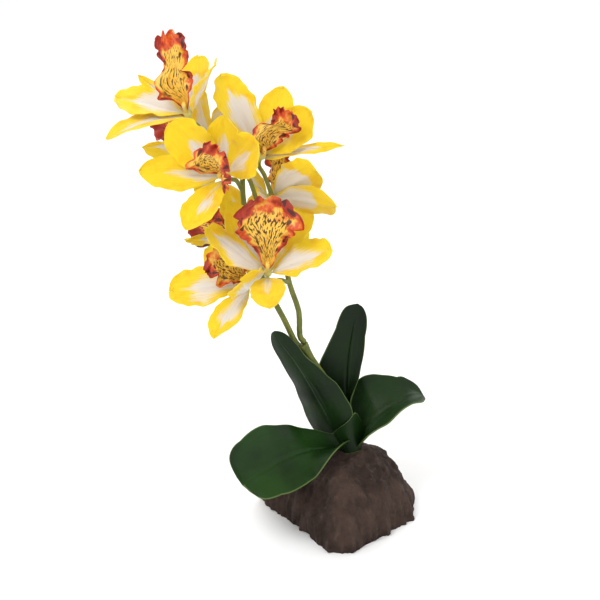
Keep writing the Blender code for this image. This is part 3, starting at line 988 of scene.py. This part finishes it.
def leaf_form(grid, along, across, seed, groove):
    """A strap with a groove along its midrib, a round tip and a faintly waved margin."""
    draw = np.random.default_rng(seed)
    phase, second = draw.uniform(0, 2 * math.pi, 2)
    side, margin = np.sign(across), np.abs(across) * 2
    tall = rise(along, 0.05, 0.25)
    lift = -groove * hump(across, 0, 0.02) * tall * (1 - rise(along, 0.7, 0.95))
    lift += 0.3 * groove * hump(np.abs(across), 0.06, 0.03) * tall
    lift += LEAF_WAVE * margin**3 * tall * wave(1.6 * along, phase + side)
    lift += LEAF_WAVE / 2 * margin * tall * wave(2.2 * along, second)
    return along, across * outline_share(grid, along, 0.76, 0.5), lift


def noise_at(point, packing, shift=0.0):
    """Noise packed differently along each axis, with the whole pattern shifted up."""
    x, y, z = (at * by for at, by in zip(point, packing))
    return noise.noise(Vector((x, y, z + shift)))


def carved(point, normal, height, look):
    """Where a point of the rock goes. The foot stays flat, and its outline is ragged."""
    steep = math.sqrt(max(0.0, 1 - normal.z**2))
    flute = 0.5 - 2.2 * abs(noise_at(point, (95, 95, 14)))
    flute += 0.9 * noise_at(point, (230, 230, 30), 7)
    lump = noise.noise(point * 42) + 0.5 * noise.noise(point * 95)
    depth = look.flute * flute * (0.35 + 0.65 * steep) + look.lump * lump * 0.8
    depth += 0.3 * look.flute * noise.noise(point * 420)
    foot = 1 - min(1.0, height / ROCK_FOOT)
    depth += ROCK_RAGGED * (noise_at(point, (120, 120, 0), 3) - 0.15) * foot * steep
    flat = height < ROCK_FLAT
    target = point + Vector((normal.x, normal.y, 0 if flat else normal.z)) * depth
    if flat:
        target.z = point.z
    return target


# Operators.


class OrchidOperator:
    bl_options = {"REGISTER", "UNDO"}


class ORCHID_OT_rock(OrchidOperator, bpy.types.Operator):
    """Carve the fluted brown rock"""

    bl_idname = "orchid.rock"
    bl_label = "Rock"

    def execute(self, context):
        look = settings("rock")
        piece = recarved("rock", look.grain)
        low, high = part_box("rock")
        moved = []
        for vertex in piece.data.vertices:
            height = (vertex.co.z - low.z) / (high.z - low.z)
            target = carved(vertex.co, vertex.normal, height, look)
            target.z = max(target.z, low.z)
            moved.append(target)
        set_points(piece, moved)
        smooth(piece, 80)
        place(piece, "rock_body", "rock", [rock_material("rock brown")], "rock")
        return {"FINISHED"}


class ORCHID_OT_crown(OrchidOperator, bpy.types.Operator):
    """Wrap the crown in the sheath of the right leaf"""

    bl_idname = "orchid.crown"
    bl_label = "Crown"

    def execute(self, context):
        crown = frame["nodes"]["crown"]
        crown.data.materials.clear()
        # Painted shade: the crown's olive is darkened almost to black, where it sits in the shade
        # under the leaf bases.
        crown.data.materials.append(stem_material("crown green in painted shade", painted_light=CROWN_PAINTED_LIGHT))
        low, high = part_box("crown")
        centre = (low + high) / 2
        around, up = (np.linspace(0, 1, count) for count in SHEATH_GRID)
        angles = np.radians(np.interp(around, (0, 1), SHEATH_SPAN))[:, None]
        tops = np.interp(around, SHEATH_PLACES, SHEATH_HEIGHTS)[:, None] * MM
        radius = np.interp(up, (0, 1), SHEATH_RADII)
        grid = np.empty((*SHEATH_GRID, 3))
        grid[:, :, 0] = centre.x + np.sin(angles) * radius
        grid[:, :, 1] = centre.y - np.cos(angles) * radius
        grid[:, :, 2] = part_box("rock")[1].z - SHEATH_SINK + tops * up
        piece = blank("sheath", SHEATH_SHEET)
        along, across = flat_axes(piece)
        lay_over(piece, along, across, SHEATH_WAVE * np.sin(11 * along), grid)
        wall(piece, settings("leaf").thickness)
        # Painted shade: the sheath's green is darker than the front leaf's, where it sits among the
        # leaf bases.
        greens = [
            leaf_material(name, painted_light=SHEATH_PAINTED_LIGHT)
            for name in ("sheath inside", "sheath")
        ]
        place(piece, "crown_sheath", "leaf", greens)
        return {"FINISHED"}


class ORCHID_OT_stems(OrchidOperator, bpy.types.Operator):
    """Round off the trunk and both flowering stems"""

    bl_idname = "orchid.stems"
    bl_label = "Stems"

    def execute(self, context):
        look = settings("stem")
        olive = stem_material("stem olive", hubs=True)
        hubs = np.array([flower_axes(flower)[0] for flower in FLOWERS])
        for name in STEMS:
            piece = recarved(name, look.grain)
            ease = piece.modifiers.new("ease", "SMOOTH")
            ease.factor = 0.5
            ease.iterations = 6
            apply_modifiers(piece)
            smooth(piece, 180)
            points = points_of(piece)
            near = np.min(np.linalg.norm(points[:, None] - hubs[None], axis=2), axis=1)
            tint = piece.data.attributes.new(HUB_TINT, "FLOAT", "POINT")
            tint.data.foreach_set("value", (1 - rise(near, *TINT_FADE)).astype(np.float32))
            place(piece, name + "_skin", "stem", [olive], name)
        return {"FINISHED"}


class ORCHID_OT_leaves(OrchidOperator, bpy.types.Operator):
    """Bend the four strap leaves over their blades"""

    bl_idname = "orchid.leaves"
    bl_label = "Leaves"

    def execute(self, context):
        look = settings("leaf")
        master = blank("leaf_blank", LEAF_SHEET)
        along, across = flat_axes(master)
        for name in LEAVES:
            # Painted shade: each leaf's green is darkened by its share from the table of leaves.
            leaf_light_share = LEAF_PAINTED_LIGHT[name]
            upper = leaf_material(name + " upper", painted_light=leaf_light_share)
            under = leaf_material(name + " under", back=True, painted_light=leaf_light_share)
            piece = copy_of(master)
            grid = middle_grid(name, LEAF_GRID, narrow_root=False)
            grid = reshaped(grid, LEAF_MARGINS[name])
            form = leaf_form(grid, along, across, seed_of(name), look.groove)
            lay_over(piece, *form, grid)
            wall(piece, look.thickness)
            place(piece, name + "_blade", "leaf", [upper, under], name)
        bpy.data.objects.remove(master)
        return {"FINISHED"}


class ORCHID_OT_tepals(OrchidOperator, bpy.types.Operator):
    """Bend every sepal and petal over its blade"""

    bl_idname = "orchid.tepals"
    bl_label = "Sepals and Petals"

    def execute(self, context):
        look = settings("tepal")
        master = blank("tepal_blank", TEPAL_SHEET)
        along, across = flat_axes(master)
        faces = {
            spread: tepal_material(label + " face", spread=spread)
            for label, spread in
            (("petal", WIDE), ("sepal", SLIGHT), ("half golden", PARTLY), ("golden", GOLDEN))
        }
        petal_back = tepal_material("petal back", True)
        sepal_back = tepal_material("sepal back", True, SLIGHT)
        for flower in FLOWERS:
            for kind in SEPALS + PETALS:
                name = f"{flower}_{kind}"
                piece = copy_of(master)
                grid = middle_grid(name, TEPAL_GRID)
                trims = TRIMS.get(name, WHOLE)
                form = tepal_form(grid, along, across, kind, seed_of(name), look, trims)
                lay_over(piece, *form, grid)
                wall(piece, look.thickness)
                face = faces[CENTRES.get(name, WIDE if kind in PETALS else SLIGHT)]
                back = petal_back if kind in PETALS else sepal_back
                place(piece, name + "_blade", "tepal", [face, back], name)
        bpy.data.objects.remove(master)
        return {"FINISHED"}


class ORCHID_OT_lips(OrchidOperator, bpy.types.Operator):
    """Frill and roll every lip"""

    bl_idname = "orchid.lips"
    bl_label = "Lips"

    def execute(self, context):
        look = settings("lip")
        master = blank("lip_blank", LIP_SHEET)
        along, across = flat_axes(master)
        face, back = lip_material("lip face"), lip_material("lip back", back=True)
        faces = dict.fromkeys(DEEP_LIPS, lip_material("lip deep face", deeper=DEEPER))
        faces[SPARSE_LIP] = lip_material("lip plain face", sparser=SPARSER)
        for flower in FLOWERS:
            name = flower + "_lip"
            piece = copy_of(master)
            grid = middle_grid(name, LIP_GRID)
            outline = LIP_OUTLINES[flower]
            form = lip_form(outline, along, across, seed_of(name), look.frill, look.roll)
            lay_over(piece, *form, grid)
            wall(piece, look.thickness)
            place(piece, name + "_frill", "lip", [faces.get(flower, face), back], name)
        bpy.data.objects.remove(master)
        return {"FINISHED"}


class ORCHID_OT_columns(OrchidOperator, bpy.types.Operator):
    """Set the small arched column over each lip"""

    bl_idname = "orchid.columns"
    bl_label = "Columns"

    def execute(self, context):
        cream = column_material("column cream")
        select_only()
        bpy.ops.mesh.primitive_circle_add(vertices=16, radius=COLUMN_RADIUS, fill_type="NGON")
        master = context.active_object
        bpy.ops.object.mode_set(mode="EDIT")
        bpy.ops.mesh.select_all(action="SELECT")
        for up, over, size in COLUMN_RINGS:
            bpy.ops.mesh.extrude_region_move(
                TRANSFORM_OT_translate={"value": (over * MM, 0, up * MM)}
            )
            bpy.ops.transform.resize(value=(size, size * 1.02, size))
        bpy.ops.mesh.select_all(action="SELECT")
        bpy.ops.mesh.normals_make_consistent(inside=False)
        bpy.ops.object.mode_set(mode="OBJECT")
        round_off = master.modifiers.new("round off", "SUBSURF")
        round_off.levels = round_off.render_levels = 2
        apply_modifiers(master)
        for flower in FLOWERS:
            centre, facing, side = flower_axes(flower)
            across = facing.cross(side)
            turn = Matrix((side, across, facing)).transposed().to_4x4()
            piece = copy_of(master)
            start = centre + facing * COLUMN_START[0] - side * COLUMN_START[1]
            piece.data.transform(Matrix.Translation(start) @ turn)
            smooth(piece, 180)
            place(piece, flower + "_column", "lip", [cream])
        bpy.data.objects.remove(master)
        return {"FINISHED"}


def lamp(name, place_at, size, power, target):
    data = bpy.data.lights.new(name, "AREA")
    data.shape = "DISK"
    data.size = size
    data.energy = power
    made = bpy.data.objects.new(name, data)
    bpy.context.scene.collection.objects.link(made)
    made.location = place_at
    made.rotation_euler = (Vector(place_at) - target).to_track_quat("Z", "Y").to_euler()
    return made


class ORCHID_OT_stage(OrchidOperator, bpy.types.Operator):
    """Lay the pale floor and set the soft lights and the camera"""

    bl_idname = "orchid.stage"
    bl_label = "Stage"

    def execute(self, context):
        look = settings("stage")
        low, high = FRAME_BOX
        select_only()
        bpy.ops.mesh.primitive_grid_add(
            x_subdivisions=8, y_subdivisions=8, size=FLOOR_SIZE, location=(0, 0, low.z)
        )
        floor = context.active_object
        floor.name = floor.data.name = "floor"
        floor.data.materials.append(floor_material("floor white"))

        for name, place_at, size, power in LAMPS:
            lamp(name, place_at, size, power, (low + high) / 2)
        world = bpy.data.worlds.new("studio")
        world.use_nodes = True
        sky = world.node_tree.nodes["Background"]
        sky.inputs["Color"].default_value = (1, 1, 1, 1)
        sky.inputs["Strength"].default_value = SKY
        context.scene.world = world
        context.scene.view_settings.view_transform = "Standard"

        data = bpy.data.cameras.new("camera")
        data.lens, data.sensor_width = LENS, SENSOR
        data.clip_start, data.clip_end = 0.01, 50
        camera = bpy.data.objects.new("camera", data)
        context.scene.collection.objects.link(camera)
        camera.location = CAMERA_PLACE
        camera.rotation_euler = (math.pi / 2 - look.pitch, 0, 0)
        context.scene.camera = camera
        return {"FINISHED"}


class ORCHID_PT_panel(bpy.types.Panel):
    """Lists the plant's pieces"""

    bl_idname = "ORCHID_PT_panel"
    bl_label = "Orchid on Rock"
    bl_space_type = "VIEW_3D"
    bl_region_type = "UI"
    bl_category = "Orchid"

    def draw(self, context):
        for kind, group, operators in GROUPS:
            box = self.layout.box()
            for item in operators:
                box.operator(item.bl_idname)
            for name in group.__annotations__:
                box.prop(getattr(context.scene, "orchid_" + kind), name)


GROUPS = (
    ("rock", OrchidRockSettings, (ORCHID_OT_rock,)),
    ("stem", OrchidStemSettings, (ORCHID_OT_crown, ORCHID_OT_stems)),
    ("leaf", OrchidLeafSettings, (ORCHID_OT_leaves,)),
    ("tepal", OrchidTepalSettings, (ORCHID_OT_tepals,)),
    ("lip", OrchidLipSettings, (ORCHID_OT_lips, ORCHID_OT_columns)),
    ("stage", OrchidStageSettings, (ORCHID_OT_stage,)),
)


def register():
    for kind, group, operators in GROUPS:
        bpy.utils.register_class(group)
        setattr(bpy.types.Scene, "orchid_" + kind, bpy.props.PointerProperty(type=group))
        for item in operators:
            bpy.utils.register_class(item)
    bpy.utils.register_class(ORCHID_PT_panel)


def unregister():
    bpy.utils.unregister_class(ORCHID_PT_panel)
    for kind, group, operators in reversed(GROUPS):
        for item in operators:
            bpy.utils.unregister_class(item)
        delattr(bpy.types.Scene, "orchid_" + kind)
        bpy.utils.unregister_class(group)


def main():
    register()
    for item in list(bpy.data.objects):
        if item.type in ("CAMERA", "LIGHT") or item.name == "Cube":
            bpy.data.objects.remove(item)
    bpy.ops.orchid.rock()
    bpy.ops.orchid.crown()
    bpy.ops.orchid.stems()
    bpy.ops.orchid.leaves()
    bpy.ops.orchid.tepals()
    bpy.ops.orchid.lips()
    bpy.ops.orchid.columns()
    bpy.ops.orchid.stage()
    select_only()


if __name__ == "__main__":
    main()
